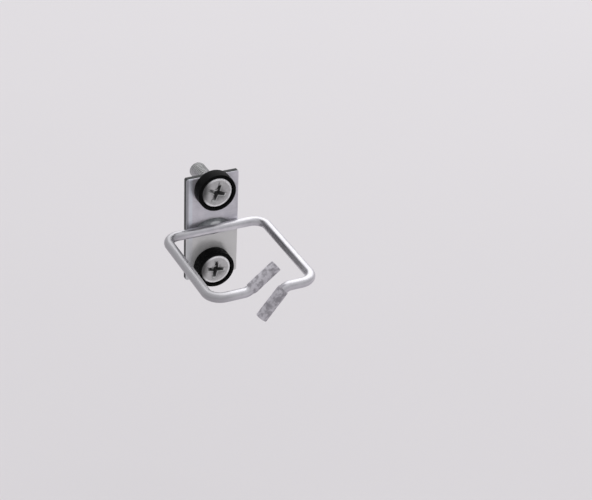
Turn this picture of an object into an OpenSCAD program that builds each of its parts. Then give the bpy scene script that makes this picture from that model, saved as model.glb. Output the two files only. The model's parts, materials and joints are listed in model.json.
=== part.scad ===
// Rack cable ring: a loop of round wire welded across a small flat plate. The plate is screwed
// to the front of a rack rail, and the loop stands out from it and guides cables up and down.
// The two ends of the wire are bent apart across the front, one up and one down, so that a
// cable can be slipped in through the slanted gap but doesn't fall out again.
//
// All lengths are in millimetres. The origin is the middle of the plate's back face, where it
// meets the rail. +X is to the right, +Z is up, and the loop stands out towards -Y.

/* [Mounting plate] */
// Width of the plate
plate_w = 20; // [18:0.5:30]
// Height of the plate
plate_h = 41.5; // [38:0.5:60]
// Thickness of the plate
plate_t = 2; // [1:0.25:4]
// Radius of the plate's corners
plate_corner_r = 0.6; // [0.2:0.1:2]
// Distance from each screw's middle to the nearer end of the plate
screw_to_end = 4.875; // [4.2:0.025:6]

/* [Wire ring] */
// Diameter of the wire
wire_d = 3.5; // [2.5:0.25:5]
// Width of the ring over its outside
ring_w = 41; // [38:0.5:60]
// Reach of the ring's right front from the back of the plate
right_reach = 49; // [46:0.5:80]
// How far the ring's left front stays behind its right front
left_step_back = 1.5; // [0:0.1:3]
// Radius of the ring's four corners, on the middle of the wire
corner_r = 5; // [4:0.25:6]

/* [Wire ends] */
// Radius of the bend into each end, on the middle of the wire
end_bend_r = 4; // [3:0.25:5]
// Distance from the middle of the plate to where the left end starts to bend
left_bend_x = 7.1; // [6.5:0.1:8]
// Angle that the left end is bent up
left_bend_angle = 38.5; // [25:0.5:50]
// Length of the left end past its bend
left_end_l = 11.2; // [8:0.1:14]
// Distance from the middle of the plate to where the right end starts to bend
right_bend_x = 9.5; // [9:0.1:11]
// Angle that the right end is bent down
right_bend_angle = 51; // [35:0.5:55]
// Length of the right end past its bend
right_end_l = 11.3; // [8:0.1:14]

/* [End sleeves] */
// Wall of the plastic sleeve on each end
sleeve_wall = 0.3; // [0.2:0.05:0.8]
// Thickness of the sleeve's closed tip
sleeve_tip_t = 0.5; // [0.3:0.1:2]
// Rounding of the sleeve's closed tip
sleeve_tip_r = 0.25; // [0.1:0.05:0.5]
// Clearance all round between the wire and its sleeve
sleeve_gap = 0.04; // [0.02:0.01:0.1]
// Angle of the left bend that its sleeve covers
left_sleeve_on_bend = 4; // [2:1:12]
// Angle of the right bend that its sleeve covers
right_sleeve_on_bend = 15; // [2:1:17]

/* [Weld beads] */
// Length of each weld bead along the wire
weld_l = 12; // [6:0.5:16]
// Height of each weld bead at its middle
weld_h = 1.5; // [0.8:0.1:2]

/* [Cup washers] */
// Outer diameter of the cup washer
cup_d = 14.1; // [13:0.1:16]
// Height of the cup washer
cup_h = 4.6; // [4:0.1:8]
// Thickness of the washer's wall
cup_wall = 1.15; // [0.6:0.05:1.4]
// Thickness of the washer's floor under the screw head
cup_floor_t = 1; // [0.6:0.1:2]
// Rounding of the washer's rim
cup_rim_r = 0.4; // [0.1:0.05:0.6]

/* [Screws] */
// Outer diameter of the screw's thread
screw_d = 6; // [5.4:0.1:6.4]
// Diameter of the plain neck between the head and the thread
neck_d = 5.2; // [4.4:0.1:5.3]
// Length of the screw under its head
screw_l = 16; // [10:1:30]
// Height of the screw head
head_h = 3.1; // [3:0.1:5]
// Rounding of the screw head's edge
head_edge_r = 0.9; // [0.3:0.1:1.2]
// Clearance all round between the screw head and the washer's wall
head_gap = 0.15; // [0.05:0.05:0.5]
// Clearance all round between the thread and the washer's hole
washer_hole_gap = 0.2; // [0.1:0.05:0.5]
// Clearance all round between the thread and the plate's hole
plate_hole_gap = 0.3; // [0.1:0.05:0.6]
// Distance from one ridge of the thread to the next
thread_pitch = 1; // [0.8:0.05:1.5]
// Depth of the thread
thread_depth = 0.61; // [0.3:0.01:0.7]
// Width of the flat top of a ridge
thread_crest_w = 0.125; // [0.1:0.025:0.3]
// Width of the flat bottom between two ridges
thread_root_w = 0.25; // [0.1:0.025:0.4]
// Gap between the back of the plate and the top of the first ridge
thread_start_gap = 0.2; // [0.15:0.05:0.4]
// Length of the cone at the screw's tip
tip_cone_l = 1; // [0.5:0.1:2]
// Width of the cross recess from tip to tip
recess_d = 6.9; // [4:0.1:7.2]
// Depth of the cross recess
recess_depth = 2.9; // [1.5:0.1:3.2]
// Thickness of the arms of the cross recess
recess_arm_t = 1.3; // [0.8:0.1:1.6]
// Width of the cross recess at its bottom
recess_floor_d = 2.4; // [1.6:0.1:3]
// Turn of the upper screw's recess
upper_recess_turn = 68; // [0:1:90]
// Turn of the lower screw's recess
lower_recess_turn = 80; // [0:1:90]

/* [Hidden] */
$fn = 96;

STEEL = [0.72, 0.73, 0.75];
PLATE_STEEL = [0.60, 0.60, 0.62];
WELD_STEEL = [0.42, 0.41, 0.42];
SLEEVE_GREY = [0.60, 0.60, 0.61];
WASHER_BLACK = [0.05, 0.05, 0.06];

// How far a cutting shape runs past the face that it cuts.
cut = 1;

// How far a straight stretch starts inside the bend before it, and how much thinner it is
// all round.
root_l = 0.1;
root_step = 0.01;

// Front face of the plate, and the middle of the wire where it lies against that face.
plate_front_y = -plate_t;
wire_y = plate_front_y - wire_d / 2;

// The ring's middle line: its two legs and its two front stretches.
left_reach = right_reach - left_step_back;
leg_x = (ring_w - wire_d) / 2;
right_front_y = -(right_reach - wire_d / 2);
left_front_y = -(left_reach - wire_d / 2);

sleeve_bore_d = wire_d + 2 * sleeve_gap;
sleeve_d = sleeve_bore_d + 2 * sleeve_wall;

plate_hole_d = screw_d + 2 * plate_hole_gap;
cup_hole_d = screw_d + 2 * washer_hole_gap;
cup_bore_d = cup_d - 2 * cup_wall;
head_d = cup_bore_d - 2 * head_gap;

// The height of each screw. They are two steps of the rack's holes apart, which is 31.75.
upper_z = plate_h / 2 - screw_to_end;
lower_z = -upper_z;

// The face that a screw head rests on. The neck reaches from there to the back of the plate.
head_seat_y = plate_front_y - cup_floor_t;
neck_l = cup_floor_t + plate_t;

// The thread is a row of level ridges: its root, the middle of its first ridge, and their number.
thread_root_r = screw_d / 2 - thread_depth;
first_ridge_z = -neck_l - thread_start_gap - thread_crest_w / 2;
thread_ridges = ceil((first_ridge_z + screw_l) / thread_pitch);

// A rod of diameter d along +X, from x = 0.
module rod_x(d, l) {
    rotate([0, 90, 0]) cylinder(d = d, h = l);
}

// A rod of diameter d along -Y, from y = 0.
module rod_out(d, l) {
    rotate([90, 0, 0]) cylinder(d = d, h = l);
}

// A straight stretch of wire along +X. Its children start at its far end.
module straight(l) {
    rod_x(wire_d, l);
    translate([l, 0, 0]) children();
}

// A quarter turn of wire from +X towards -Y. Its children start at its far end.
module corner() {
    translate([0, -corner_r, 0]) rotate_extrude(angle = 90) translate([corner_r, 0]) circle(d = wire_d);
    translate([corner_r, -corner_r, 0]) rotate([0, 0, -90]) children();
}

// Half of the ring, from the middle of its back round to where its end starts to bend.
module half_ring(reach, bend_x) {
    straight(leg_x - corner_r) corner()
        straight(reach - plate_t - wire_d - 2 * corner_r) corner()
            straight(leg_x - corner_r - bend_x) children();
}

// A bend of round section d in the front plane, from the origin and +X up to the angle a.
// Only the stretch from angle a0 to angle a is made.
module end_bend(d, a0, a) {
    translate([0, 0, end_bend_r]) rotate([90, 0, 0]) rotate([0, 0, a0 - 90])
        rotate_extrude(angle = a - a0) translate([end_bend_r, 0]) circle(d = d);
}

// Moves its children to the far end of a bend of angle a and turns them along the wire.
module past_bend(a) {
    translate([end_bend_r * sin(a), 0, end_bend_r * (1 - cos(a))]) rotate([0, -a, 0]) children();
}

// A straight stretch past a bend, of round section d. It starts a little inside the bend,
// and is thinner than the bend by a hair, so that the two are one solid.
module past_bend_rod(d, l) {
    translate([-root_l, 0, 0]) rod_x(d - 2 * root_step, l + root_l);
}

// The start of the left end's bend. The wire runs on to the right and bends up.
module at_left_end() {
    translate([-left_bend_x, left_front_y, 0]) children();
}

// The start of the right end's bend. The wire runs on to the left and bends down.
module at_right_end() {
    translate([right_bend_x, right_front_y, 0]) rotate([0, 180, 0]) children();
}

// One bent end of the wire: the bend, and the straight stretch past it.
module wire_end(a, l) {
    end_bend(wire_d, 0, a);
    past_bend(a) past_bend_rod(wire_d, l);
}

module wire_ring() {
    color(STEEL) translate([0, wire_y, 0]) union() {
        half_ring(right_reach, right_bend_x)
            mirror([0, 0, 1]) wire_end(right_bend_angle, right_end_l);
        mirror([1, 0, 0]) half_ring(left_reach, left_bend_x)
            wire_end(left_bend_angle, left_end_l);
    }
}

// The outside of a sleeve on a straight end of length l, with its closed tip rounded.
module sleeve_outside(l) {
    full_l = l + sleeve_gap + sleeve_tip_t;
    rotate([0, 90, 0]) rotate_extrude() union() {
        square([sleeve_d / 2, full_l - sleeve_tip_r]);
        square([sleeve_d / 2 - sleeve_tip_r, full_l]);
        translate([sleeve_d / 2 - sleeve_tip_r, full_l - sleeve_tip_r]) circle(sleeve_tip_r);
    }
}

// A sleeve on an end that is bent by angle a and is l long past its bend. It also covers
// the last stretch of the bend, of angle on_bend, where its mouth is a hair wider.
module end_sleeve(a, l, on_bend) {
    difference() {
        union() {
            end_bend(sleeve_d + 2 * root_step, a - on_bend, a);
            past_bend(a) translate([-root_l, 0, 0]) sleeve_outside(l + root_l);
        }
        end_bend(sleeve_bore_d, a - 2 * on_bend, a);
        past_bend(a) past_bend_rod(sleeve_bore_d, l + sleeve_gap);
    }
}

module end_sleeve_left() {
    color(SLEEVE_GREY) at_left_end() end_sleeve(left_bend_angle, left_end_l, left_sleeve_on_bend);
}

module end_sleeve_right() {
    color(SLEEVE_GREY) at_right_end() end_sleeve(right_bend_angle, right_end_l, right_sleeve_on_bend);
}

// The plate, with its two screw holes.
module mounting_plate() {
    flat_w = plate_w - 2 * plate_corner_r;
    flat_h = plate_h - 2 * plate_corner_r;
    color(PLATE_STEEL) difference() {
        rotate([90, 0, 0]) linear_extrude(height = plate_t) union() {
            square([plate_w, flat_h], center = true);
            square([flat_w, plate_h], center = true);
            for (sx = [-1, 1], sz = [-1, 1])
                translate([sx * flat_w / 2, sz * flat_h / 2]) circle(plate_corner_r);
        }
        for (z = [upper_z, lower_z])
            translate([0, cut, z]) rod_out(plate_hole_d, plate_t + 2 * cut);
    }
}

// A weld bead in the corner above the wire, thick in its middle and fine at its two ends.
// Its outline is an arc of a large circle, turned about the line where the wire's top
// would meet the plate.
module weld_bead() {
    arc_r = (weld_l * weld_l / 4 + weld_h * weld_h) / (2 * weld_h);
    difference() {
        translate([0, plate_front_y, wire_d / 2]) rotate([0, 90, 0]) rotate_extrude()
            intersection() {
                translate([weld_h - arc_r, 0]) circle(arc_r);
                translate([0, -weld_l / 2]) square([weld_h, weld_l]);
            }
        translate([-weld_l, plate_front_y, -weld_l]) cube(2 * weld_l);
        translate([-weld_l, wire_y, 0]) rod_x(wire_d, 2 * weld_l);
    }
}

module weld_upper() {
    color(WELD_STEEL) weld_bead();
}

module weld_lower() {
    color(WELD_STEEL) mirror([0, 0, 1]) weld_bead();
}

// A cup washer on the plate, open towards the front. Its rim is rounded outside.
module cup_washer(z) {
    color(WASHER_BLACK) translate([0, plate_front_y, z]) rotate([90, 0, 0]) difference() {
        rotate_extrude() union() {
            square([cup_d / 2, cup_h - cup_rim_r]);
            square([cup_d / 2 - cup_rim_r, cup_h]);
            translate([cup_d / 2 - cup_rim_r, cup_h - cup_rim_r]) circle(cup_rim_r);
        }
        translate([0, 0, cup_floor_t]) cylinder(d = cup_bore_d, h = cup_h);
        translate([0, 0, -cut]) cylinder(d = cup_hole_d, h = cup_h);
    }
}

module cup_washer_upper() {
    cup_washer(upper_z);
}

module cup_washer_lower() {
    cup_washer(lower_z);
}

// The cross recess, cut down from z = 0: two crossed arms that taper towards the bottom.
module cross_recess() {
    intersection() {
        union() for (a = [0, 90])
            rotate([0, 0, a]) cube([recess_d + cut, recess_arm_t, 2 * recess_depth], center = true);
        translate([0, 0, -recess_depth])
            cylinder(d1 = recess_floor_d, d2 = recess_d, h = recess_depth);
    }
}

// Half of the thread's section, from its axis out to its ridges, as one outline.
module thread_section() {
    ridge_foot = (thread_pitch - thread_root_w) / 2;
    ridge_top = thread_crest_w / 2;
    polygon(concat(
        [[0, cut - neck_l]],
        [for (i = [0:thread_ridges - 1]) let (z = first_ridge_z - i * thread_pitch) each [
            [thread_root_r, z + ridge_foot], [screw_d / 2, z + ridge_top],
            [screw_d / 2, z - ridge_top], [thread_root_r, z - ridge_foot]
        ]],
        [[thread_root_r, -screw_l - cut], [0, -screw_l - cut]]
    ));
}

// Half of the outside of the threaded rod, with the cone at its tip.
module rod_section() {
    polygon([
        [0, -neck_l], [screw_d / 2, -neck_l], [screw_d / 2, tip_cone_l - screw_l],
        [screw_d / 2 - tip_cone_l, -screw_l], [0, -screw_l]
    ]);
}

// A screw with a cheese head and a cross recess, seated in its washer. Its neck is plain, and
// its thread is a row of ridges, cut down by the cone at the tip.
module screw(z, recess_turn) {
    color(STEEL) translate([0, head_seat_y, z]) rotate([90, 0, 0]) union() {
        difference() {
            rotate_extrude() union() {
                square([head_d / 2, head_h - head_edge_r]);
                square([head_d / 2 - head_edge_r, head_h]);
                translate([head_d / 2 - head_edge_r, head_h - head_edge_r]) circle(head_edge_r);
            }
            translate([0, 0, head_h]) rotate([0, 0, recess_turn]) cross_recess();
        }
        translate([0, 0, -neck_l]) cylinder(d = neck_d, h = neck_l);
        rotate_extrude() intersection() {
            thread_section();
            rod_section();
        }
    }
}

module screw_upper() {
    screw(upper_z, upper_recess_turn);
}

module screw_lower() {
    screw(lower_z, lower_recess_turn);
}

mounting_plate();
wire_ring();
weld_upper();
weld_lower();
end_sleeve_left();
end_sleeve_right();
cup_washer_upper();
cup_washer_lower();
screw_upper();
screw_lower();
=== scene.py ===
# %% [markdown]
# # A cable ring for a server rack
#
# The real thing is a loop of zinc-plated wire, welded across a small steel plate. Two screws
# in black cup washers hold the plate to a rack rail. The two ends of the wire are bent
# apart across the front, and each end wears a short grey plastic sleeve. Cables run up and
# down through the loop, and are slipped in through the slanted gap between the ends.
#
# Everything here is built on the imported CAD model. It says where each part is, and the
# pieces below add what steel, plastic and a weld really look like.

# %% Load the CAD frame
import json
import math

import bmesh
import bpy
from mathutils import Matrix, Vector, noise

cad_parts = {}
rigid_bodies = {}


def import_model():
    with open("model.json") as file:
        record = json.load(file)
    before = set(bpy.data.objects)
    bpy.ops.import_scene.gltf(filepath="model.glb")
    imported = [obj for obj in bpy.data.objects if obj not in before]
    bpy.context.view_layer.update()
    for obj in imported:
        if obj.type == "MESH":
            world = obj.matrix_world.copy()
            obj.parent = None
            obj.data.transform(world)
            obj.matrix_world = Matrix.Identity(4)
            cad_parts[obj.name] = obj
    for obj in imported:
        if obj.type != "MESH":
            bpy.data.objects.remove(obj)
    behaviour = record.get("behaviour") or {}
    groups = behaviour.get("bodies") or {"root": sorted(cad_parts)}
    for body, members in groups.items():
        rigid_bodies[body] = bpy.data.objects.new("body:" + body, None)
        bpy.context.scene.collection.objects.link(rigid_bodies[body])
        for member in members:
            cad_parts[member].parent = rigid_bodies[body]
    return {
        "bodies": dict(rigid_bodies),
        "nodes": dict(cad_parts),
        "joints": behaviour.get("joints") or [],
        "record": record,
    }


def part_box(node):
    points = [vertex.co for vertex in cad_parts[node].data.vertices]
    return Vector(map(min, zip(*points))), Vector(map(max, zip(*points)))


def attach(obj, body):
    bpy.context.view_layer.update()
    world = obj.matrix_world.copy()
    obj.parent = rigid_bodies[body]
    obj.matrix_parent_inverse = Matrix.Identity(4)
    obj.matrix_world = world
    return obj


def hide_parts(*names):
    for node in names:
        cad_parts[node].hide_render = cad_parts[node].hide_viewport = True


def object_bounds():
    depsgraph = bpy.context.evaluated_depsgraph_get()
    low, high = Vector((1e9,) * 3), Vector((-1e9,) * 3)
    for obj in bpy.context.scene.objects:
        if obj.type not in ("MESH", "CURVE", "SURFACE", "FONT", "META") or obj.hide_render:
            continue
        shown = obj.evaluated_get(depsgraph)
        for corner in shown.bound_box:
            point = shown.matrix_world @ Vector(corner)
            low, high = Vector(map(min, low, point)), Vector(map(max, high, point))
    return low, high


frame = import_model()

cad_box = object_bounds()
MM = 0.001
print("CAD nodes:", ", ".join(sorted(frame["nodes"])))
print("CAD size in mm:", [round(side / MM, 2) for side in cad_box[1] - cad_box[0]])

# %% [markdown]
# ## The camera
#
# A small part is best looked at from about half a metre away through a long lens, so that its
# far side doesn't shrink much. The camera stands to the left of the ring and above it, and is
# tipped by a few degrees. It is made first, because everything else is judged through it.

# %% Camera
CAMERA_PLACE = Vector((-181.3, -419.0, 271.85)) * MM
CAMERA_AZIMUTH = math.radians(-27.33)
CAMERA_ELEVATION = math.radians(31.68)
CAMERA_ROLL = math.radians(2.98)
LENS_MM = 90.0
SENSOR_MM = 36.0


def add_camera():
    """A camera that looks straight down, and is then rolled, tipped up and swung round."""
    camera_data = bpy.data.cameras.new("camera")
    camera_data.lens = LENS_MM
    camera_data.sensor_width = SENSOR_MM
    camera = bpy.data.objects.new("camera", camera_data)
    bpy.context.scene.collection.objects.link(camera)
    swing = Matrix.Rotation(CAMERA_AZIMUTH, 4, "Z")
    dip = Matrix.Rotation(math.pi / 2 - CAMERA_ELEVATION, 4, "X")
    roll = Matrix.Rotation(CAMERA_ROLL, 4, "Z")
    camera.matrix_world = Matrix.Translation(CAMERA_PLACE) @ swing @ dip @ roll
    bpy.context.scene.camera = camera
    return camera


camera = add_camera()
print("camera is", round(CAMERA_PLACE.length, 3), "m from the middle of the plate")

# %% [markdown]
# ## Sizes
#
# The outer sizes come from the boxes of the CAD nodes, so they can't drift away from the CAD
# model. A box doesn't say how thick a wire is or how round a bend is, so those few sizes are
# written down, in millimetres.

# %% Sizes from the CAD boxes, and the few that a box can't give
plate_low, plate_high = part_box("mounting_plate")
ring_low, ring_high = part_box("wire_ring")
cup_low, cup_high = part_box("cup_washer_upper")
screw_low, screw_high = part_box("screw_upper")

WIRE_R = 1.75 * MM
CORNER_R = 5.0 * MM
LEFT_STEP_BACK = 1.5 * MM
END_BEND_R = 4.0 * MM
LEFT_BEND_X, LEFT_BEND_ANGLE, LEFT_END_L = 7.1 * MM, math.radians(38.5), 11.2 * MM
RIGHT_BEND_X, RIGHT_BEND_ANGLE, RIGHT_END_L = 9.5 * MM, math.radians(51.0), 11.3 * MM

plate_front = plate_low.y
screw_z = (screw_low.z + screw_high.z) / 2
wire_y = plate_front - WIRE_R
leg_x = ring_high.x - WIRE_R
right_front_y = ring_low.y + WIRE_R
left_front_y = right_front_y + LEFT_STEP_BACK

X, Y, Z = Vector((1, 0, 0)), Vector((0, 1, 0)), Vector((0, 0, 1))
print("plate front at y =", round(plate_front / MM, 3), "mm; screws at z = +-",
      round(screw_z / MM, 3), "mm; legs at x = +-", round(leg_x / MM, 3), "mm")

# %% [markdown]
# ## From rings of points to a skin
#
# Wire, sleeves, washers, screws and weld beads are all long or round things. Each can be
# drawn as a row of rings, and one function stretches a skin over them. A ring of a single
# point closes the skin like the pole of a globe. Meshes made this way are watertight and
# have even faces, which a scaled cylinder with booleans wouldn't give.

# %% skin: a closed mesh over a row of rings
SHARP_EDGE = math.radians(32)


def skin(name, rings, loop=False):
    """A closed mesh over rings of points. With loop, the last ring joins the first again."""
    body = bmesh.new()
    rows = [[body.verts.new(point) for point in ring] for ring in rings]
    pairs = list(zip(rows, rows[1:])) + ([(rows[-1], rows[0])] if loop else [])
    for row, following in pairs:
        sides = max(len(row), len(following))
        for i in range(sides):
            j = (i + 1) % sides
            corners = [row[i % len(row)], row[j % len(row)],
                       following[j % len(following)], following[i % len(following)]]
            body.faces.new(list(dict.fromkeys(corners)))
    if not loop:
        for row in (rows[0], rows[-1]):
            if len(row) > 1:
                body.faces.new(row)
    bmesh.ops.recalc_face_normals(body, faces=body.faces)
    return add_piece(name, body)


def add_piece(name, body):
    """Puts a mesh into the scene: smooth shading, and crisp where faces meet at a sharp angle."""
    mesh = bpy.data.meshes.new(name)
    body.to_mesh(mesh)
    body.free()
    mesh.shade_smooth()
    mesh.set_sharp_from_angle(angle=SHARP_EDGE)
    piece = bpy.data.objects.new(name, mesh)
    bpy.context.scene.collection.objects.link(piece)
    print(name, "has", len(mesh.polygons), "faces")
    return piece


def arc(centre, radius, start, end, steps):
    """Points on a circle in a flat outline, from one angle in degrees to another."""
    angles = [math.radians(start + (end - start) * i / steps) for i in range(steps + 1)]
    return [(centre[0] + radius * math.cos(a), centre[1] + radius * math.sin(a)) for a in angles]


# %% [markdown]
# ## Walking along the wire
#
# A bent wire is made by feeding straight wire and bending it, one bend after another. The
# route below does the same: it walks forward, or turns about an axis, and keeps a little
# three-way frame with it. Rings of points set in that frame never twist against each other.

# %% Route: straight stretches and round bends
STRAIGHT_STEP = 0.8 * MM
BEND_STEP = math.radians(5)
ROUNDING = 1e-9


class Route:
    """The middle line of a bent wire, as stations that each hold a run, a place and a frame."""

    def __init__(self, place, heading, up):
        self.place = Vector(place)
        self.frame = Matrix((heading, up.cross(heading), up)).transposed()
        self.run = 0.0
        self.stations = [self.station()]

    def station(self):
        return self.run, self.place.copy(), self.frame.copy()

    def straight(self, length):
        """Walks forward by a length."""
        steps = max(1, round(length / STRAIGHT_STEP))
        for _ in range(steps):
            self.place += self.frame.col[0] * (length / steps)
            self.run += length / steps
            self.stations.append(self.station())
        return self

    def bend(self, angle, radius, axis):
        """Turns to the left of an axis, on a circle round a point beside the wire."""
        centre = self.place + axis.cross(self.frame.col[0]) * radius
        steps = max(1, round(angle / BEND_STEP))
        turn = Matrix.Rotation(angle / steps, 3, axis)
        for _ in range(steps):
            self.place = centre + turn @ (self.place - centre)
            self.frame = turn @ self.frame
            self.run += radius * angle / steps
            self.stations.append(self.station())
        return self

    def cut(self, start):
        """Only the stations from a run on, counted again from 0."""
        return [(run - start, place, frame) for run, place, frame in self.stations
                if run >= start - ROUNDING]


def ring_round(station, radius, sides):
    """A ring of points across a route. The radius may be a function of the angle."""
    _, place, frame = station
    points = []
    for i in range(sides):
        angle = math.tau * i / sides
        r = radius(angle) if callable(radius) else radius
        outward = frame.col[1] * math.cos(angle) + frame.col[2] * math.sin(angle)
        points.append(place + outward * r)
    return points


# %% [markdown]
# ## The wire ring
#
# Both halves start at the middle of the back, where the wire is welded to the plate. Each
# runs round a leg to the front and turns in. There the left end bends up and the right end
# bends down. The skin runs from one tip to the other, so the ring is one piece, as the wire is.
#
# Along with each point goes its place in the wire: across the section, and along the run. The
# plating uses it for lines that were drawn into the wire, and that follow it round the bends.

# %% The wire's route and skin
WIRE_SIDES = 72


def half_route(side, reach_y, bend_x, bend_angle, end_l):
    """From the middle of the back to one tip. Side is 1 for the right half, -1 for the left."""
    leg_l = wire_y - reach_y - 2 * CORNER_R
    route = Route((0, wire_y, 0), X * side, Z)
    route.straight(leg_x - CORNER_R).bend(math.pi / 2, CORNER_R, Z * -side)
    route.straight(leg_l).bend(math.pi / 2, CORNER_R, Z * -side)
    route.straight(leg_x - CORNER_R - bend_x)
    front_run = route.run
    route.bend(bend_angle, END_BEND_R, -Y).straight(end_l)
    return route, front_run


right_route, right_front_run = half_route(1, right_front_y, RIGHT_BEND_X, RIGHT_BEND_ANGLE,
                                          RIGHT_END_L)
left_route, left_front_run = half_route(-1, left_front_y, LEFT_BEND_X, LEFT_BEND_ANGLE,
                                        LEFT_END_L)


def turned_back(stations):
    """The same line walked from its far end: its frames keep their up and turn their heading."""
    flip = Matrix.Diagonal((-1, -1, 1))
    return [(-run, place, frame @ flip) for run, place, frame in reversed(stations)]


def mark_places(piece, rings, runs):
    """Stores for each point its place across the wire and along it, in millimetres."""
    marks = piece.data.attributes.new("wire_place", "FLOAT_VECTOR", "POINT")
    values = []
    for ring, run in zip(rings, runs):
        for i in range(len(ring)):
            angle = math.tau * i / len(ring)
            across = WIRE_R / MM if len(ring) > 1 else 0.0
            values += [across * math.cos(angle), across * math.sin(angle), run / MM]
    marks.data.foreach_set("vector", values)


def make_wire():
    line = turned_back(left_route.stations)[:-1] + right_route.stations
    rings = [ring_round(station, WIRE_R, WIRE_SIDES) for station in line]
    wire = skin("wire_loop", rings)
    mark_places(wire, rings, [run for run, _, _ in line])
    return wire


wire = make_wire()
print("wire is", round((left_route.run + right_route.run) / MM, 1), "mm long")

# %% [markdown]
# ## The plastic sleeves
#
# Each sleeve is a cap of soft grey plastic pushed over an end, so that it doesn't scratch
# cables. It fits tightly and starts in the bend. Its skin goes out along the outside, over the
# square tip, and back inside to the mouth. Soft plastic is never quite even, so its outside
# swells and sinks by a few hundredths of a millimetre.

# %% Sleeves on the two ends
SLEEVE_R = 2.09 * MM
SLEEVE_BORE_R = 1.79 * MM
SLEEVE_TIP_T = 0.5 * MM
SLEEVE_TIP_R = 0.25 * MM
SLEEVE_MOUTH_R = 0.12 * MM
SLEEVE_END_GAP = 0.04 * MM
SLEEVE_SINK, SLEEVE_SWING = 0.015 * MM, 0.020 * MM
WAVES_ROUND, WAVES_ALONG = 1.3, 0.55
SLEEVE_FACE_RING = 0.45
SLEEVE_SIDES = 48
LEFT_ON_BEND, RIGHT_ON_BEND = math.radians(4), math.radians(15)
LEFT_SEED, RIGHT_SEED = 3.0, 11.0


def beyond(station, length):
    """A station further on in a straight line."""
    run, place, frame = station
    return run + length, place + frame.col[0] * length, frame


def make_sleeve(name, route, front_run, bend_angle, on_bend, seed):
    """A sleeve over the end of a route, from the last part of its bend to past its tip."""
    start = front_run + (bend_angle - on_bend) * END_BEND_R
    line = route.cut(start)
    first_run = line[0][0]

    def wavy(station, radius):
        along = station[0] / MM * WAVES_ALONG + seed

        def at(angle):
            spot = Vector((math.cos(angle) * WAVES_ROUND, math.sin(angle) * WAVES_ROUND, along))
            return radius - SLEEVE_SINK - SLEEVE_SWING * noise.noise(spot)
        return at

    tip = line[-1]
    rings = [ring_round(line[0], SLEEVE_BORE_R, SLEEVE_SIDES),
             ring_round(line[0], SLEEVE_R - SLEEVE_MOUTH_R, SLEEVE_SIDES)]
    rings += [ring_round(station, wavy(station, SLEEVE_R), SLEEVE_SIDES)
              for station in line if station[0] > first_run + SLEEVE_MOUTH_R]
    closed = SLEEVE_END_GAP + SLEEVE_TIP_T - SLEEVE_TIP_R
    for further, r in arc((closed, SLEEVE_R - SLEEVE_TIP_R), SLEEVE_TIP_R, 90, 0, 6):
        edge = beyond(tip, further)
        rings.append(ring_round(edge, wavy(edge, r), SLEEVE_SIDES))
    face = beyond(tip, closed + SLEEVE_TIP_R)
    rings += [ring_round(face, SLEEVE_R * SLEEVE_FACE_RING, SLEEVE_SIDES), [face[1]]]
    bottom = beyond(tip, SLEEVE_END_GAP)
    inner = [[bottom[1]], ring_round(bottom, SLEEVE_BORE_R, SLEEVE_SIDES)]
    inner += [ring_round(station, SLEEVE_BORE_R, SLEEVE_SIDES) for station in reversed(line[1:])]
    return skin(name, inner + rings)


sleeve_left = make_sleeve("sleeve_left", left_route, left_front_run, LEFT_BEND_ANGLE,
                          LEFT_ON_BEND, LEFT_SEED)
sleeve_right = make_sleeve("sleeve_right", right_route, right_front_run, RIGHT_BEND_ANGLE,
                           RIGHT_ON_BEND, RIGHT_SEED)

# %% [markdown]
# ## The plate
#
# A press shears plates like this one from a strip. The punch pulls the front edges over a
# little before it breaks through, so the front is softly rounded, and the sides are left
# rough and dark; that darkness is partly the steel's own and partly painted shade. Rings of
# the outline, each a little further in, give that edge. The flat faces round the two screw
# holes are then filled in as one flat area with holes.

# %% The sheared plate
PLATE_CORNER_R = 0.6 * MM
PLATE_CORNER_LEAST_R = 0.05 * MM
PLATE_HOLE_R = 3.3 * MM
EDGE_ROLL_IN = 0.45 * MM
EDGE_ROLL_DEEP = 0.3 * MM
EDGE_BURR = 0.05 * MM
HOLE_EDGE_R = 0.12 * MM
CORNER_STEPS = 6
HOLE_SIDES = 64


def plate_outline(inset, y):
    """The plate's outline, drawn in by an inset, as points in the plane of a given y."""
    half_w, half_h = plate_high.x - inset, plate_high.z - inset
    r = max(PLATE_CORNER_R - inset, PLATE_CORNER_LEAST_R)
    points = []
    for quarter, (sx, sz) in enumerate([(1, 1), (-1, 1), (-1, -1), (1, -1)]):
        middle = (sx * (half_w - r), sz * (half_h - r))
        points += arc(middle, r, 90 * quarter, 90 * quarter + 90, CORNER_STEPS)
    return [Vector((x, y, z)) for x, z in points]


def hole_outline(z, radius, y):
    """A circle round one screw hole."""
    angles = [math.tau * i / HOLE_SIDES for i in range(HOLE_SIDES)]
    return [Vector((radius * math.cos(a), y, z + radius * math.sin(a))) for a in angles]


def wall(body, outlines):
    """Faces between outlines, and the edges of the first and the last one."""
    rows = [[body.verts.new(point) for point in outline] for outline in outlines]
    for row, following in zip(rows, rows[1:]):
        for i in range(len(row)):
            j = (i + 1) % len(row)
            body.faces.new((row[i], row[j], following[j], following[i]))
    return [[body.edges.get((row[i], row[(i + 1) % len(row)])) for i in range(len(row))]
            for row in (rows[0], rows[-1])]


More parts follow.
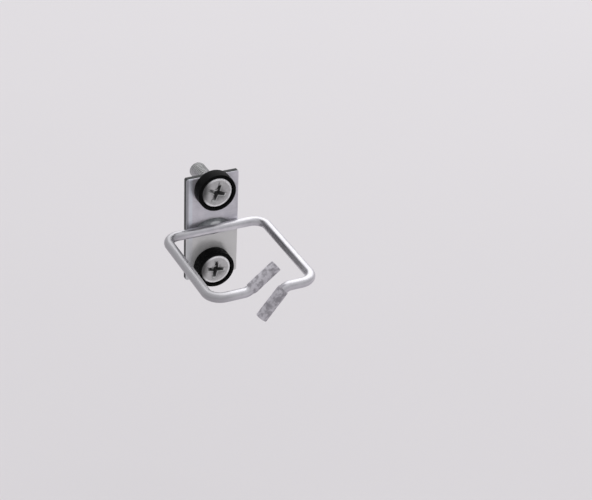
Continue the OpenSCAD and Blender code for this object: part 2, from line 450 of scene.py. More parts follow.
def make_plate():
    body = bmesh.new()
    outlines = [plate_outline(EDGE_BURR, 0), plate_outline(0, -EDGE_BURR)]
    for across, rise in arc((0, 0), 1, 180, 90, 8):
        inset = EDGE_ROLL_IN * (1 + across)
        outlines.append(plate_outline(inset, plate_front + EDGE_ROLL_DEEP * (1 - rise)))
    edges = wall(body, outlines)
    for z in (screw_z, -screw_z):
        hole = [hole_outline(z, PLATE_HOLE_R, 0)]
        hole += [hole_outline(z, PLATE_HOLE_R + HOLE_EDGE_R - x, plate_front + HOLE_EDGE_R - y)
                 for x, y in arc((0, 0), HOLE_EDGE_R, 0, 90, 4)]
        for found, more in zip(edges, wall(body, hole)):
            found += more
    for face_edges in edges:
        bmesh.ops.triangle_fill(body, use_beauty=True, edges=face_edges)
    bmesh.ops.recalc_face_normals(body, faces=body.faces)
    return add_piece("plate", body)


plate = make_plate()

# %% [markdown]
# ## The welds
#
# The wire is joined to the plate by a short bead above it and one below. Molten steel fills the
# narrow corner between the round wire and the flat plate, highest in its middle, and freezes
# in small ripples. Each ring below is one slice across a bead: a bulging line from the plate
# to the wire, closed behind, where the steel has melted into both.

# %% Weld beads
WELD_L = 12.0 * MM
WELD_H = 1.5 * MM
WELD_BULGE = 0.16 * MM
WELD_RIPPLE = 0.05 * MM
WELD_RIPPLE_L = 0.85 * MM
WELD_MELT = 0.05 * MM
WELD_TOE_Z = 0.4 * MM
WELD_BACK_Z = 0.3 * MM
WELD_END_GAP = 0.02 * MM
WELD_UNEVEN, WELD_LUMPS = 0.1, 0.45
WELD_LEAN_END, WELD_LEAN_MORE = 22, 66
WELD_SEED = 7.0
WELD_SLICES = 96
WELD_STEPS = 10


def weld_slice(x, side):
    """One slice of a bead, at x along the wire. Side is 1 above the wire, -1 below."""
    full = math.sqrt(max(1 - (2 * x / WELD_L) ** 2, 0.0))
    uneven = 1 + WELD_UNEVEN * noise.noise(Vector((x / MM * WELD_LUMPS, side * WELD_SEED, 0)))
    toe_z = WELD_TOE_Z + (WIRE_R + WELD_H - WELD_TOE_Z) * full * uneven
    lean = math.radians(WELD_LEAN_END + WELD_LEAN_MORE * full)
    toe_plate = (plate_front, toe_z)
    toe_wire = (wire_y + WIRE_R * math.cos(lean), WIRE_R * math.sin(lean))
    ripple = WELD_RIPPLE * abs(math.sin(math.pi * x / WELD_RIPPLE_L))
    points = [(plate_front + WELD_MELT, toe_z)]
    for i in range(WELD_STEPS + 1):
        t = i / WELD_STEPS
        swell = 4 * t * (1 - t) * (WELD_BULGE + ripple) * full
        y = toe_plate[0] + (toe_wire[0] - toe_plate[0]) * t - swell
        z = toe_plate[1] + (toe_wire[1] - toe_plate[1]) * t + swell
        points.append((y, z))
    sunk = 1 - WELD_MELT / WIRE_R
    points.append((wire_y + (toe_wire[0] - wire_y) * sunk, toe_wire[1] * sunk))
    points.append((plate_front + WELD_MELT, WELD_BACK_Z))
    return [Vector((x, y, side * z)) for y, z in points]


def make_weld(name, side):
    half = WELD_L / 2 - WELD_END_GAP
    stops = [-half * math.cos(math.pi * i / WELD_SLICES) for i in range(WELD_SLICES + 1)]
    return skin(name, [weld_slice(x, side) for x in stops])


weld_above = make_weld("weld_bead_upper", 1)
weld_below = make_weld("weld_bead_lower", -1)

# %% [markdown]
# ## Round parts on a lathe
#
# The washers and the screws are round about their own axis, so they are turned from an
# outline of radius and height, as on a lathe. Each is made at its own origin, with its axis
# pointing out of the plate, and is then set on its screw hole. Its materials can then measure
# from that axis.

# %% turned: a part from its outline


def turned(name, outline, sides, loop=False):
    """A lathe part. The outline gives radius and height; height runs out of the plate."""
    return skin(name, [ring_at(radius, height, sides) for radius, height in outline], loop)


def ring_at(radius, height, sides):
    """One turned ring. The radius may be a function of the angle."""
    if not callable(radius) and radius <= 0:
        return [Vector((0, -height, 0))]
    points = []
    for i in range(sides):
        angle = math.tau * i / sides
        r = radius(angle) if callable(radius) else radius
        points.append(Vector((r * math.cos(angle), -height, r * math.sin(angle))))
    return points


# %% [markdown]
# ## The cup washers
#
# A cup washer is a small black nylon pot. Its floor takes the screw head, and its wall hides
# the head's edge so that cables don't catch on it. It comes from a mould, so its rim is
# round and all its corners are a little soft.

# %% Cup washers
CUP_WALL = 1.15 * MM
CUP_FLOOR_T = 1.0 * MM
CUP_RIM_R = 0.4 * MM
CUP_INNER_RIM_R = 0.25 * MM
CUP_FOOT_R = 0.15 * MM
CUP_HOLE_R = 3.2 * MM
CUP_SIDES = 96

cup_r = (cup_high.x - cup_low.x) / 2
cup_h = cup_high.y - cup_low.y
cup_bore_r = cup_r - CUP_WALL


def make_cup(name, z):
    outline = [(CUP_HOLE_R, 0)]
    outline += arc((cup_r - CUP_FOOT_R, CUP_FOOT_R), CUP_FOOT_R, -90, 0, 4)
    outline += arc((cup_r - CUP_RIM_R, cup_h - CUP_RIM_R), CUP_RIM_R, 0, 90, 8)
    outline += arc((cup_bore_r + CUP_INNER_RIM_R, cup_h - CUP_INNER_RIM_R), CUP_INNER_RIM_R,
                   90, 180, 6)
    outline += [(cup_bore_r, CUP_FLOOR_T), (CUP_HOLE_R, CUP_FLOOR_T)]
    cup = turned(name, outline, CUP_SIDES, loop=True)
    cup.location = (0, plate_front, z)
    return cup


cup_upper = make_cup("washer_cup_upper", screw_z)
cup_lower = make_cup("washer_cup_lower", -screw_z)

# %% [markdown]
# ## The screws
#
# An M6 rack screw has a round head with a soft edge, a plain neck, and a thread with a pitch
# of 1 mm. The thread is a true one: on each ring the radius goes up and down with the angle,
# and the pattern moves on by one pitch per turn. The tip is a short cone, which cuts the first
# turns down.
#
# The cross recess can't be turned on a lathe. It is made as it is in the factory, where a
# punch is pressed into the head: a tapered cross is taken away with a Boolean modifier.

# %% Screw sizes
HEAD_R = 5.75 * MM
HEAD_H = 3.1 * MM
HEAD_EDGE_R = 0.45 * MM
HEAD_FOOT = 0.15 * MM
NECK_R = 2.6 * MM
NECK_L = 3.0 * MM
PITCH = 1.0 * MM
THREAD_R = 3.0 * MM
THREAD_DEPTH = 0.61 * MM
THREAD_CREST, THREAD_ROOT = 0.125, 0.25
THREAD_RUN_IN = 0.8 * MM
TIP_CONE_L = 1.0 * MM
SCREW_SIDES = 64
RINGS_PER_TURN = 16

screw_l = screw_high.y - plate_front + CUP_FLOOR_T
head_seat_y = plate_front - CUP_FLOOR_T
print("screw is", round(screw_l / MM, 2), "mm long under its head")


def thread_profile(phase):
    """Depth of the thread, 0 at its crest and 1 at its root, at a phase of 0 to 1 in a turn."""
    away = abs(phase - 0.5) * 2
    slope = (1 - THREAD_CREST - THREAD_ROOT)
    return min(max((1 - away - THREAD_ROOT) / slope, 0.0), 1.0)


def thread_ring(height):
    """The radius round the thread at a height, as a function of the angle."""
    from_tip = height + screw_l
    from_neck = -NECK_L - height
    limit = min(THREAD_R, THREAD_R - TIP_CONE_L + from_tip,
                NECK_R + (THREAD_R - NECK_R) * from_neck / THREAD_RUN_IN)

    def radius(angle):
        phase = (height / PITCH - angle / math.tau) % 1.0
        return min(THREAD_R - THREAD_DEPTH * (1 - thread_profile(phase)), limit)
    return radius


# %% The recess and the finished screw
UPPER_TURN, LOWER_TURN = math.radians(68), math.radians(80)
HEAD_RING = 0.4
RECESS_R = 3.45 * MM
RECESS_FLOOR_R = 1.2 * MM
RECESS_DEPTH = 2.9 * MM
RECESS_POINT = 0.35 * MM
RECESS_ARM = 0.75 * MM
RECESS_ARM_FLOOR = 0.5 * MM
RECESS_ARM_END = 0.85
RECESS_CORNER = 1.2
RECESS_OVER = 0.3 * MM


def recess_outline(reach, arm, height):
    """A cross of four arms, with its inner corners a little filled."""
    points = []
    for quarter in range(4):
        turn = Matrix.Rotation(quarter * math.pi / 2, 2)
        corner = arm * RECESS_CORNER
        end = arm * RECESS_ARM_END
        for x, y in ((reach, -end), (reach, end), (corner, corner)):
            spot = turn @ Vector((x, y))
            points.append(Vector((spot.x, -height, spot.y)))
    return points


def make_punch():
    """The tapered cross that is taken out of a head."""
    slope = (RECESS_R - RECESS_FLOOR_R) / RECESS_DEPTH
    over = recess_outline(RECESS_R + slope * RECESS_OVER, RECESS_ARM, HEAD_H + RECESS_OVER)
    floor_height = HEAD_H - RECESS_DEPTH
    floor = recess_outline(RECESS_FLOOR_R, RECESS_ARM_FLOOR, floor_height)
    return skin("punch", [over, floor, [Vector((0, RECESS_POINT - floor_height, 0))]])


def take_away(piece, tool):
    """Cuts a tool's shape out of a piece and removes the tool."""
    cutting = piece.modifiers.new("cut", "BOOLEAN")
    cutting.operation, cutting.solver, cutting.object = "DIFFERENCE", "EXACT", tool
    evaluated = piece.evaluated_get(bpy.context.evaluated_depsgraph_get())
    cut = bpy.data.meshes.new_from_object(evaluated)
    piece.modifiers.clear()
    piece.data = cut
    bpy.data.objects.remove(tool)


def make_screw(name, z, recess_turn):
    outline = [(0, HEAD_H), (HEAD_R * HEAD_RING, HEAD_H)]
    outline += arc((HEAD_R - HEAD_EDGE_R, HEAD_H - HEAD_EDGE_R), HEAD_EDGE_R, 90, 0, 10)
    outline += [(HEAD_R, HEAD_FOOT), (HEAD_R - HEAD_FOOT, 0), (NECK_R, 0)]
    turns = (screw_l - NECK_L) / PITCH
    rings = round(turns * RINGS_PER_TURN)
    for i in range(rings + 1):
        height = -NECK_L - turns * PITCH * i / rings
        outline.append((thread_ring(height), height))
    outline.append((0, -screw_l))
    screw = turned(name, outline, SCREW_SIDES)
    punch = make_punch()
    punch.rotation_euler.y = -recess_turn
    take_away(screw, punch)
    screw.location = (0, head_seat_y, z)
    return screw


screw_upper = make_screw("rack_screw_upper", screw_z, UPPER_TURN)
screw_lower = make_screw("rack_screw_lower", -screw_z, LOWER_TURN)

# %% [markdown]
# ## Shader maths as Python
#
# A finish is worked out by a tree of nodes. Dragging noodles between dozens of Math nodes is
# hard to read afterwards, so a small class wraps a socket: `1 - mask * 0.3` then adds its own
# Math nodes. Every other node comes from one method, which sets the node up first and then
# fills or links its sockets.

# %% Value: one output of a node, with arithmetic


class Value:
    """One output of a shader node. Arithmetic on it adds Math nodes."""

    def __init__(self, nodes, socket):
        self.nodes = nodes
        self.socket = socket

    def math(self, operation, *terms):
        return self.nodes.node("ShaderNodeMath", {"operation": operation}, dict(enumerate(terms)))

    def __add__(self, other):
        return self.math("ADD", self, other)

    def __radd__(self, other):
        return self.math("ADD", other, self)

    def __sub__(self, other):
        return self.math("SUBTRACT", self, other)

    def __rsub__(self, other):
        return self.math("SUBTRACT", other, self)

    def __mul__(self, other):
        return self.math("MULTIPLY", self, other)

    def __rmul__(self, other):
        return self.math("MULTIPLY", other, self)

    def __abs__(self):
        return self.math("ABSOLUTE", self)

    def root(self):
        return self.math("SQRT", self)

    def sine(self):
        return self.math("SINE", self)


def distance(first, second):
    """How far a place is from an axis, from its two offsets."""
    return (first * first + second * second).root()


# %% Nodes: the tree of one material


class Nodes:
    """The nodes of one material or world."""

    def __init__(self, tree):
        self.tree = tree
        tree.nodes.clear()

    def node(self, kind, settings=None, sockets=None, output=0):
        """Adds any node: its settings first, then the values or links of its sockets."""
        made = self.tree.nodes.new(kind)
        for name, setting in (settings or {}).items():
            if name == "stops":
                self.set_stops(made.color_ramp, setting)
            else:
                setattr(made, name, setting)
        for name, value in (sockets or {}).items():
            if isinstance(value, Value):
                self.tree.links.new(value.socket, made.inputs[name])
            else:
                made.inputs[name].default_value = value
        return None if output is None else Value(self, made.outputs[output])

    @staticmethod
    def set_stops(ramp, stops):
        while len(ramp.elements) < len(stops):
            ramp.elements.new(0.5)
        for element, (position, colour) in zip(ramp.elements, stops):
            element.position, element.color = position, (*colour, 1)

    def millimetres(self):
        """The place on the object, in millimetres."""
        place = self.node("ShaderNodeTexCoord", output="Object")
        return self.node("ShaderNodeVectorMath", {"operation": "SCALE"},
                         {0: place, "Scale": 1 / MM})

    def axes(self, place):
        """The three coordinates of a place, each as a value."""
        split = self.node("ShaderNodeSeparateXYZ", sockets={0: place}).socket.node
        return [Value(self, output) for output in split.outputs]

    def stretched(self, place, factors):
        return self.node("ShaderNodeVectorMath", {"operation": "MULTIPLY"}, {0: place, 1: factors})

    def cloud(self, place, scale, detail=3.0, rough=0.55):
        """Soft noise from 0 to 1. Its scale is in cycles per millimetre."""
        return self.node("ShaderNodeTexNoise", {}, {"Vector": place, "Scale": scale,
                                                    "Detail": detail, "Roughness": rough})

    def rise(self, value, low, high):
        """0 below low, 1 above high, and a soft step between. It falls if low is above high."""
        return self.node("ShaderNodeMapRange", {"interpolation_type": "SMOOTHSTEP"},
                         {"Value": value, "From Min": low, "From Max": high})

    def blend(self, factor, first, second):
        """A colour between two colours."""
        return self.node("ShaderNodeMix", {"data_type": "RGBA"},
                         {0: factor, 6: first, 7: second}, output=2)

    def bumps(self, height, depth_mm, before=None):
        """A bent normal from a height of 0 to 1. It can be laid over an earlier one."""
        sockets = {"Height": height, "Distance": depth_mm * MM, "Strength": 1.0}
        if before is not None:
            sockets["Normal"] = before
        return self.node("ShaderNodeBump", {}, sockets)


def new_finish(name, build):
    """A material whose Principled shader takes the sockets that build returns."""
    material = bpy.data.materials.new(name)
    material.use_nodes = True
    nodes = Nodes(material.node_tree)
    shader = nodes.node("ShaderNodeBsdfPrincipled", {}, build(nodes))
    nodes.node("ShaderNodeOutputMaterial", {}, {"Surface": shader}, output=None)
    print("finish", name, "has", len(material.node_tree.nodes), "nodes")
    return material


def grey(level, warmth=0.0):
    """A nearly neutral colour. Warmth above 0 leans to straw, below 0 to blue."""
    return (level * (1 + warmth), level, level * (1 - warmth), 1)


# %% [markdown]
# ## The heat of a weld
#
# Welding burns the zinc off and leaves the steel dark. The mark is an oval round the bead with
# a ragged edge, and both the wire and the plate carry it, so it is written once.

# %% weld_heat: a mask round the welds
HEAT_MIDDLE_X = -0.8
HEAT_EDGE, HEAT_FULL = 1.15, 0.3
HEAT_RAGGED = 0.35


def weld_heat(nodes, place, reach_x, reach_z):
    """1 at the welds, falling to 0 at a distance from them along and across the wire."""
    x, _, z = nodes.axes(place)
    away = distance((x - HEAT_MIDDLE_X) * (1 / reach_x), z * (1 / reach_z))
    ragged = nodes.cloud(place, 0.7) * HEAT_RAGGED
    return nodes.rise(away + ragged, HEAT_EDGE, HEAT_FULL)


# %% [markdown]
# ## Bright zinc on drawn wire
#
# Wire is drawn through a die, which leaves fine lines along it, and is then plated with a
# few thousandths of a millimetre of zinc. The lines follow the wire round its bends, so they
# can't come from plain coordinates. They come from the places stored on the wire, pressed
# together along its run until the noise becomes streaks.
#
# Painted shade is laid on by the same places. The underside is painted darker from the weld
# on, as painted shade, and so is the whole left leg. A stripe of painted dark reflection runs
# along the inner side of the right leg. Each mark is a soft mask with two limits: where it
# starts and where it is full.

# %% Finish of the wire
WIRE_CLOUDED, WIRE_BRIGHT = (0.65, 0.64, 0.675, 1), (0.73, 0.72, 0.75, 1)
WIRE_UNDERSIDE_SHADE = (0.51, 0.50, 0.535, 1)
WIRE_LINE = grey(0.42)
WIRE_LEFT_LEG_SHADE = (0.38, 0.375, 0.39, 1)
WIRE_DARK_REFLECTION = (0.21, 0.205, 0.215, 1)
WIRE_BURNT = grey(0.18, -0.05)
LINE_STRETCH = (1, 1, 0.03)
WIRE_HEAT_X, WIRE_HEAT_Z = 8.0, 4.0

LEG_L = (wire_y - right_front_y - 2 * CORNER_R) / MM
LEG_MID = (leg_x - CORNER_R + math.pi / 2 * CORNER_R) / MM + LEG_L / 2

UNDER_UP, UNDER_ALONG = (0.9, -0.9), (7.0, 14.0)
LEFT_LEG_ENDS = (LEG_L * 0.9, LEG_L * 0.5)
RIGHT_LEG_ENDS = (LEG_L * 0.72, LEG_L * 0.42)
INWARD_UP, INWARD_ACROSS = 0.6, 0.8
STRIPE_UPPER, STRIPE_LOWER = (0.5, -0.2), (-1.6, -1.1)
BEHIND_Y, BEHIND_Z = (wire_y / MM + 0.2, plate_front / MM), (0.3, 1.0)


def legs_painted_shade(nodes, in_wire, patches, plated):
    """Adds the painted shade of both legs and a painted dark reflection to the plating. It also
    gives a mask of the left leg.
    """
    across, up, along = nodes.axes(in_wire)
    left_leg = nodes.rise(abs(along + LEG_MID), *LEFT_LEG_ENDS)
    right_leg = nodes.rise(abs(along - LEG_MID), *RIGHT_LEG_ENDS)
    inward = up * INWARD_UP + across * INWARD_ACROSS
    stripe = nodes.rise(inward, *STRIPE_UPPER) * nodes.rise(inward, *STRIPE_LOWER) * right_leg
    # The left leg is painted darker, as painted shade.
    plated = nodes.blend(left_leg * 0.85, plated, WIRE_LEFT_LEG_SHADE)
    # A stripe of painted dark reflection along the inner side of the right leg.
    return nodes.blend(stripe * (patches * 0.7 + 0.4), plated, WIRE_DARK_REFLECTION), left_leg


def wire_zinc(nodes):
    place = nodes.millimetres()
    in_wire = nodes.node("ShaderNodeAttribute", {"attribute_name": "wire_place"}, output="Vector")
    lines = nodes.cloud(nodes.stretched(in_wire, LINE_STRETCH), 5.0)
    patches = nodes.cloud(place, 0.35)
    _, up, along = nodes.axes(in_wire)
    under = nodes.rise(up, *UNDER_UP) * nodes.rise(abs(along), *UNDER_ALONG)
    plated = nodes.blend(nodes.rise(patches, 0.35, 0.7), WIRE_CLOUDED, WIRE_BRIGHT)
    # The underside is painted darker, as painted shade.
    plated = nodes.blend(under, plated, WIRE_UNDERSIDE_SHADE)
    plated = nodes.blend(nodes.rise(lines, 0.55, 0.8) * 0.3, plated, WIRE_LINE)
    plated, left_leg = legs_painted_shade(nodes, in_wire, patches, plated)
    _, y, z = nodes.axes(place)
    behind = nodes.rise(y, *BEHIND_Y) * nodes.rise(z, *BEHIND_Z)
    burnt = weld_heat(nodes, place, WIRE_HEAT_X, WIRE_HEAT_Z) * behind
    return {
        "Base Color": nodes.blend(burnt, plated, WIRE_BURNT),
        "Metallic": 1 - burnt * 0.35,
        "Roughness": nodes.rise(patches, 0.2, 0.9) * 0.08 + 0.33 + left_leg * 0.06 + burnt * 0.2,
        "Normal": nodes.bumps(lines, 0.003, nodes.bumps(nodes.cloud(place, 0.6), 0.010)),
    }


zinc_on_wire = new_finish("bright_zinc_on_wire", wire_zinc)

# %% [markdown]
# ## The plate
#
# The same zinc on a rolled sheet is duller and a little blue. Rolling leaves long faint
# streaks, here across the plate.
#
# The front carries painted light and shade, and the back doesn't. Below the wire the zinc is
# painted paler, as painted light, and is less metallic; towards the lower left it is painted
# darker and bluer. Along the left edge the upper half has a pale band of painted reflection
# and, outside it, a narrow strip of painted shade. The heat mark of the weld is fainter on the
# back; on the front it lies only above the wire, partly heat tint and partly painted shade and
# painted reflection of the wire.

# %% Finish of the plate's faces
PLATE_CLOUDED, PLATE_BRIGHT = (0.635, 0.625, 0.675, 1), (0.715, 0.70, 0.75, 1)
PLATE_STREAK = grey(0.47)
PLATE_PAINTED_LIGHT = (0.72, 0.72, 0.70, 1)
PLATE_PAINTED_REFLECTION = (0.76, 0.80, 0.86, 1)
PLATE_LOW_SIDE = (0.57, 0.59, 0.62, 1)
PLATE_EDGE_SHADE = (0.27, 0.28, 0.30, 1)
HEAT_AND_SHADE_TINTS = [(0.0, (0.50, 0.49, 0.50)), (0.35, (0.42, 0.41, 0.44)),
              (0.7, (0.34, 0.325, 0.37)), (1.0, (0.25, 0.24, 0.275))]
STREAK_STRETCH = (0.12, 1, 1.6)
PLATE_HEAT_X, PLATE_HEAT_Z = 12.0, 4.6
BACK_HEAT = 0.45

FRONT_Y = (-0.6, -1.4)
PALE_Z, ABOVE_Z = (-1.0, -4.5), (-6.0, -2.5)
BAND_RIGHT_X, BAND_LEFT_X = (-7.4, -7.9), (-9.2, -8.7)
LOW_SIDE_X = (-6.8, -8.2)
STRIP_X, STRIP_Z = (-9.0, -9.3), (-2.0, 0.0)
HEAT_SHADE_X, HEAT_SHADE_Z = (9.5, 6.0), (-1.2, -0.4)


def front_painted_light(nodes, place, plated):
    """Adds the painted light and shade of the plate's front. It also gives masks of the front and
    its pale half.
    """
    x, y, z = nodes.axes(place)
    front = nodes.rise(y, *FRONT_Y)
    pale = nodes.rise(z, *PALE_Z) * front
    above = nodes.rise(z, *ABOVE_Z)
    band = nodes.rise(x, *BAND_RIGHT_X) * nodes.rise(x, *BAND_LEFT_X) * front * above
    low_side = nodes.rise(x, *LOW_SIDE_X) * pale * (1 - above)
    strip = nodes.rise(x, *STRIP_X) * nodes.rise(z, *STRIP_Z) * front
    # Below the wire the front is painted paler, as painted light.
    plated = nodes.blend(pale * 0.85, plated, PLATE_PAINTED_LIGHT)
    # A pale band of painted reflection along the upper left edge.
    plated = nodes.blend(band * 0.8, plated, PLATE_PAINTED_REFLECTION)
    # Towards the lower left the pale half is painted darker and bluer.
    plated = nodes.blend(low_side * 0.6, plated, PLATE_LOW_SIDE)
    # A narrow strip of painted shade along the upper left edge.
    return nodes.blend(strip * 0.7, plated, PLATE_EDGE_SHADE), front, pale


def plate_zinc(nodes):
    place = nodes.millimetres()
    streaks = nodes.cloud(nodes.stretched(place, STREAK_STRETCH), 2.2, 4.0)
    patches = nodes.cloud(place, 0.22)
    plated = nodes.blend(nodes.rise(patches, 0.35, 0.65), PLATE_CLOUDED, PLATE_BRIGHT)
    plated = nodes.blend(nodes.rise(streaks, 0.5, 0.75) * 0.4, plated, PLATE_STREAK)
    plated, front, pale = front_painted_light(nodes, place, plated)
    x, _, z = nodes.axes(place)
    # On the front the heat mark lies only above the wire: partly heat tint, partly painted shade
    # and reflection of the wire.
    heat_and_shade_above = nodes.rise(z, *HEAT_SHADE_Z) * nodes.rise(x, *HEAT_SHADE_X) * front
    heat = weld_heat(nodes, place, PLATE_HEAT_X, PLATE_HEAT_Z) * (heat_and_shade_above + (1 - front) * BACK_HEAT)
    tint = nodes.node("ShaderNodeValToRGB", {"stops": HEAT_AND_SHADE_TINTS}, {0: heat})
    return {
        "Base Color": nodes.blend(nodes.rise(heat, 0.0, 0.3), plated, tint),
        "Metallic": 0.68 - heat * 0.2 - pale * 0.26,
        "Roughness": streaks * 0.12 + 0.26 + heat * 0.2,
        "Normal": nodes.bumps(streaks, 0.006, nodes.bumps(nodes.cloud(place, 0.5), 0.03)),
    }


zinc_on_plate = new_finish("dull_zinc_on_plate", plate_zinc)

# %% [markdown]
# ## Sheared edges
#
# Where the press has sheared the strip, the steel is torn and dark. Its near-black colour is
# partly the torn steel's own and partly painted shade along the edge. It is a second material
# on the same mesh, for all the faces that look sideways.

# %% Finish of the plate's edges
# The near-black edge colour is partly the torn steel's own, partly painted shade.
EDGE_DARK, EDGE_TORN = grey(0.018, -0.04), grey(0.06, -0.02)
TEAR_STRETCH = (1, 0.35, 1)
SIDEWAYS = 0.3


def sheared_steel(nodes):
    place = nodes.millimetres()
    tears = nodes.cloud(nodes.stretched(place, TEAR_STRETCH), 3.0, 5.0)
    return {
        "Base Color": nodes.blend(tears, EDGE_DARK, EDGE_TORN),
        "Metallic": 0.6,
        "Roughness": tears * 0.25 + 0.4,
        "Normal": nodes.bumps(tears, 0.05),
    }


sheared_edge = new_finish("sheared_edge", sheared_steel)

# %% [markdown]
# ## The weld
#
# A weld bead is bare, melted steel. Its middle carries a painted highlight, and it is
# crusted with dark scale towards its ends and edges. The bead below the wire is painted paler
# all over, as painted light against the shade under the wire.

# %% Finish of the weld beads
WELD_PAINTED_HIGHLIGHT = grey(0.66, -0.02)
WELD_CRUST, WELD_CRUST_PALE = grey(0.20, -0.05), grey(0.40, -0.04)
WELD_ENDS = grey(0.17, -0.05)
WELD_LOWER_PAINTED_LIGHT = grey(0.62, 0.01)
SHINE_X, SHINE_Z = 0.6, 1.95
SHINE = (1.3, 0.4)
ENDS_MIDDLE_X, ENDS_X = -0.4, (2.2, 4.2)
LOWER_LIGHT_Z = (0.5, -0.5)


def weld_steel(nodes):
    place = nodes.millimetres()
    x, _, z = nodes.axes(place)
    crust = nodes.cloud(place, 1.4, 4.0)
    beside, above = (x - SHINE_X) * 0.5, (z - SHINE_Z) * 1.5
    # A painted highlight in the middle of the bead.
    middle = nodes.rise(beside * beside + above * above + (crust - 0.5) * 0.3, *SHINE)
    scale = nodes.blend(crust, WELD_CRUST, WELD_CRUST_PALE)
    scale = nodes.blend(nodes.rise(abs(x - ENDS_MIDDLE_X), *ENDS_X), scale, WELD_ENDS)
    # The bead below the wire is painted paler, as painted light against the wire's shade.
    scale = nodes.blend(nodes.rise(z, *LOWER_LIGHT_Z), scale, WELD_LOWER_PAINTED_LIGHT)
    return {
        "Base Color": nodes.blend(middle, scale, WELD_PAINTED_HIGHLIGHT),
        "Metallic": middle * 0.2 + 0.5,
        "Roughness": 0.55 - middle * 0.1,
        "Normal": nodes.bumps(crust, 0.03),
    }


bare_weld = new_finish("bare_weld", weld_steel)

# %% [markdown]
# ## Grey plastic sleeves
#
# The sleeves are soft, matt plastic. They look mottled, because dust and the marks of cables
# sit on them, and a fine grain breaks up what little they reflect.

# %% Finish of the sleeves
SLEEVE_MARKED, SLEEVE_CLEAN = (0.31, 0.295, 0.325, 1), (0.63, 0.61, 0.655, 1)
SLEEVE_GRAIN = grey(0.24)


def sleeve_plastic(nodes):
    place = nodes.millimetres()
    mottle = nodes.cloud(place, 0.62)
    grain = nodes.cloud(place, 6.0)
    shade = nodes.blend(nodes.rise(mottle, 0.36, 0.64), SLEEVE_MARKED, SLEEVE_CLEAN)
    return {
        "Base Color": nodes.blend(nodes.rise(grain, 0.5, 0.8) * 0.2, shade, SLEEVE_GRAIN),
        "Roughness": mottle * 0.2 + 0.5,
        "Normal": nodes.bumps(grain, 0.02, nodes.bumps(mottle, 0.10)),
    }


grey_plastic = new_finish("grey_soft_plastic", sleeve_plastic)

# %% [markdown]
# ## Black nylon
#
# Nylon from a mould is nearly black, with a satin skin. Handling rubs its rim a little paler
# and smoother, and the rim is where the height above the plate is greatest.

# %% Finish of the cup washers
NYLON_BLACK, NYLON_RUBBED = grey(0.002, -0.06), grey(0.010, -0.02)
RUB_STRETCH = (1, 0.3, 1)
RUB_DEPTH = 0.5


def washer_nylon(nodes):
    place = nodes.millimetres()
    _, y, _ = nodes.axes(place)
    skin_grain = nodes.cloud(place, 3.5)
    rubs = nodes.cloud(nodes.stretched(place, RUB_STRETCH), 1.1, 4.0)
    rim_y = -cup_h / MM
    rubbed = nodes.rise(y, rim_y + RUB_DEPTH, rim_y) * nodes.rise(rubs, 0.4, 0.75)
    return {
        "Base Color": nodes.blend(rubbed * 0.5, NYLON_BLACK, NYLON_RUBBED),
        "Roughness": skin_grain * 0.15 + 0.42 - rubbed * 0.08,
        "Specular IOR Level": 0.05,
        "Normal": nodes.bumps(skin_grain, 0.012),
    }


black_nylon = new_finish("black_nylon", washer_nylon)

# %% [markdown]
# ## Plated screws
#
# The head is bright on its rounded edge and duller on its flat top, which the tool that
# formed it left finely ringed. Painted shade darkens the flat round the recess, most towards
# its lower right, and a painted shadow of the cup wall darkens the left side of the head.
# Inside the recess, the walls that face up and to the left are painted dark, as shade. The
# thread has a film of oil, which makes it greyer.

# %% Finish of the screws
SCREW_CLOUDED, SCREW_BRIGHT = grey(0.78, -0.01), grey(0.90)
THREAD_OILY, THREAD_DRY = grey(0.42), grey(0.58)
FLAT_DULL, FLAT_BRIGHT = grey(0.48), grey(0.60)
HEAD_RECESS_SHADE, HEAD_PAINTED_SHADOW = grey(0.14), grey(0.06)
RECESS_BARE, RECESS_SHADE_DARK = grey(0.50), grey(0.035)
TOOL_RINGS = 9.0

THREAD_Y, HEAD_Y = (0.0, 1.0), (-0.2, -0.6)
FLAT_R, FLAT_BELOW = (4.95, 4.65), (0.1, 0.02)
CROSS_R, CROSS_BELOW = (3.5, 3.2), (0.02, 0.5)
FLAT_SHADE_X, FLAT_SHADE_Z, FLAT_SHADE_R = 0.7, -0.7, (4.6, 2.6)
SHADOW_SIDE_X = (2.4, 5.2)


def screw_plating(nodes, place, patches, flat):
    """The plating of a whole screw, with the dull thread, and the painted shade and shadow on the
    head.
    """
    x, y, z = nodes.axes(place)
    aside = distance(x - FLAT_SHADE_X, z - FLAT_SHADE_Z)
    # Painted shade on the flat round the recess, most towards its lower right.
    flat_painted_shade = flat * nodes.rise(aside + patches * 2.4, *FLAT_SHADE_R)
    # A painted shadow of the cup wall on the head's left side.
    dull = nodes.rise(z * 0.2 - x, *SHADOW_SIDE_X) * nodes.rise(y, *HEAD_Y)
    plated = nodes.blend(nodes.rise(patches, 0.3, 0.7), SCREW_CLOUDED, SCREW_BRIGHT)
    thread = nodes.blend(patches, THREAD_OILY, THREAD_DRY)
    plated = nodes.blend(nodes.rise(y, *THREAD_Y), plated, thread)
    plated = nodes.blend(flat, plated, nodes.blend(patches, FLAT_DULL, FLAT_BRIGHT))
    plated = nodes.blend(flat_painted_shade * 0.6, plated, HEAD_RECESS_SHADE)
    return nodes.blend(dull * 0.95, plated, HEAD_PAINTED_SHADOW)


def recess_painted_shade(nodes):
    """Bare steel, or painted shade on the walls that face up and to the left."""
    face_x, _, face_z = nodes.axes(nodes.node("ShaderNodeTexCoord", output="Normal"))
    # Painted shade on the recess walls that face up and to the left.
    faces_up = nodes.rise(face_z * 0.8 - face_x * 0.6, 0.05, 0.5)
    return nodes.blend(faces_up, RECESS_BARE, RECESS_SHADE_DARK)


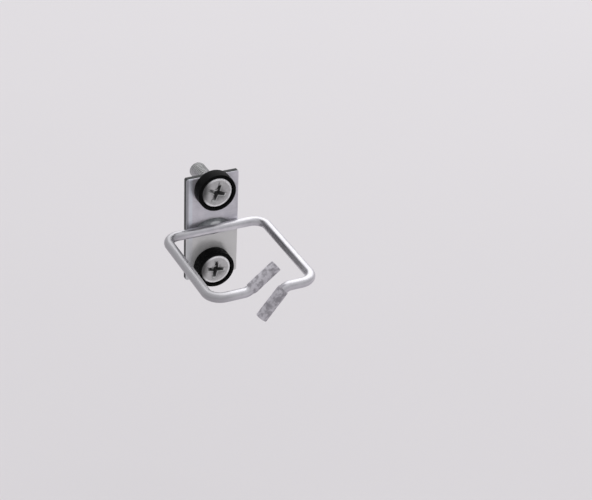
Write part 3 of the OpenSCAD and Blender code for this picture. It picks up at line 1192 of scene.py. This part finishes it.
def screw_steel(nodes):
    place = nodes.millimetres()
    x, y, z = nodes.axes(place)
    radius = distance(x, z)
    below = HEAD_H / MM + y
    patches = nodes.cloud(place, 0.9)
    flat = nodes.rise(radius, *FLAT_R) * nodes.rise(below, *FLAT_BELOW)
    in_head = nodes.rise(radius, *CROSS_R) * nodes.rise(y, *HEAD_Y)
    in_recess = nodes.rise(below, *CROSS_BELOW) * in_head
    plated = screw_plating(nodes, place, patches, flat)
    rings = (radius * TOOL_RINGS).sine() * 0.5 + 0.5
    return {
        "Base Color": nodes.blend(in_recess, plated, recess_painted_shade(nodes)),
        "Metallic": 1 - in_recess * 0.85,
        "Roughness": patches * 0.1 + 0.22 + flat * 0.12 + in_recess * 0.2,
        "Normal": nodes.bumps(rings * flat, 0.004, nodes.bumps(patches, 0.02)),
    }


plated_screw = new_finish("plated_screw", screw_steel)

# %% [markdown]
# ## Dressing the pieces
#
# Each piece gets its finish, rides on the part's one body, and takes the place of its CAD
# node, which stays in the model for collision, hidden.

# %% Finishes, bodies and replaced nodes


def dress(piece, node, slot, *materials):
    """Gives a piece its finish, puts it on the root body and hides the CAD node that it stands
    for.
    """
    piece.data.materials.clear()
    for material in materials:
        piece.data.materials.append(material)
    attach(piece, "root")
    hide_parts(node)


dress(plate, "mounting_plate", "plate_zinc", zinc_on_plate, sheared_edge)
dress(wire, "wire_ring", "wire_zinc", zinc_on_wire)
dress(weld_above, "weld_upper", "weld_steel", bare_weld)
dress(weld_below, "weld_lower", "weld_steel", bare_weld)
dress(sleeve_left, "end_sleeve_left", "sleeve_grey", grey_plastic)
dress(sleeve_right, "end_sleeve_right", "sleeve_grey", grey_plastic)
dress(cup_upper, "cup_washer_upper", "washer_black", black_nylon)
dress(cup_lower, "cup_washer_lower", "washer_black", black_nylon)
dress(screw_upper, "screw_upper", "screw_steel", plated_screw)
dress(screw_lower, "screw_lower", "screw_steel", plated_screw)

for face in plate.data.polygons:
    face.material_index = int(abs(face.normal.y) < SIDEWAYS)
print(sum(face.material_index for face in plate.data.polygons), "faces of the plate are edges")

# %% [markdown]
# ## The studio
#
# The part hangs a little above a pale floor, as if still held by its rail, so the floor
# carries only a soft shadow. One large soft lamp stands high behind it. Metal shows what is
# around it: the lamp gives the wire its bright upper line, and the darker front of the room
# gives it its grey front. The world is therefore brighter above and behind than in front.

# %% Floor, lamp and world
FLOOR_DROP = 90 * MM
FLOOR_SIZE = 12.0
FLOOR_COLOUR, FLOOR_PALE = (0.735, 0.712, 0.732, 1), (0.755, 0.73, 0.75, 1)
LAMP_PLACE = Vector((0.62, 0.72, 1.10))
LAMP_SIZE = 2.0
LAMP_POWER = 10.9
ROOM_DARK, ROOM_LIGHT = (0.50, 0.50, 0.51, 1), (0.74, 0.74, 0.75, 1)


def floor_paint(nodes):
    shade = nodes.blend(nodes.cloud(nodes.millimetres(), 0.004), FLOOR_COLOUR, FLOOR_PALE)
    return {"Base Color": shade, "Roughness": 0.9}


def add_floor():
    body = bmesh.new()
    bmesh.ops.create_grid(body, x_segments=1, y_segments=1, size=FLOOR_SIZE / 2)
    floor = add_piece("floor", body)
    floor.location.z = cad_box[0].z - FLOOR_DROP
    floor.data.materials.append(new_finish("pale_floor", floor_paint))


def add_lamp():
    lamp_data = bpy.data.lights.new("soft_lamp", "AREA")
    lamp_data.shape, lamp_data.size, lamp_data.energy = "SQUARE", LAMP_SIZE, LAMP_POWER
    lamp = bpy.data.objects.new("soft_lamp", lamp_data)
    lamp.location = LAMP_PLACE
    lamp.rotation_euler = (-LAMP_PLACE).to_track_quat("-Z", "Y").to_euler()
    bpy.context.scene.collection.objects.link(lamp)


def add_world():
    world = bpy.data.worlds.new("room")
    world.use_nodes = True
    bpy.context.scene.world = world
    nodes = Nodes(world.node_tree)
    _, y, z = nodes.axes(nodes.node("ShaderNodeTexCoord", output="Generated"))
    bright = nodes.rise(z + y * 0.45, -0.2, 0.8)
    room = nodes.blend(bright, ROOM_DARK, ROOM_LIGHT)
    light = nodes.node("ShaderNodeBackground", {}, {"Color": room, "Strength": 1.0})
    nodes.node("ShaderNodeOutputWorld", {}, {"Surface": light}, output=None)


add_floor()
add_lamp()
add_world()
bpy.context.scene.view_settings.view_transform = "Standard"
print("lamp is", round(LAMP_PLACE.length, 2), "m away")
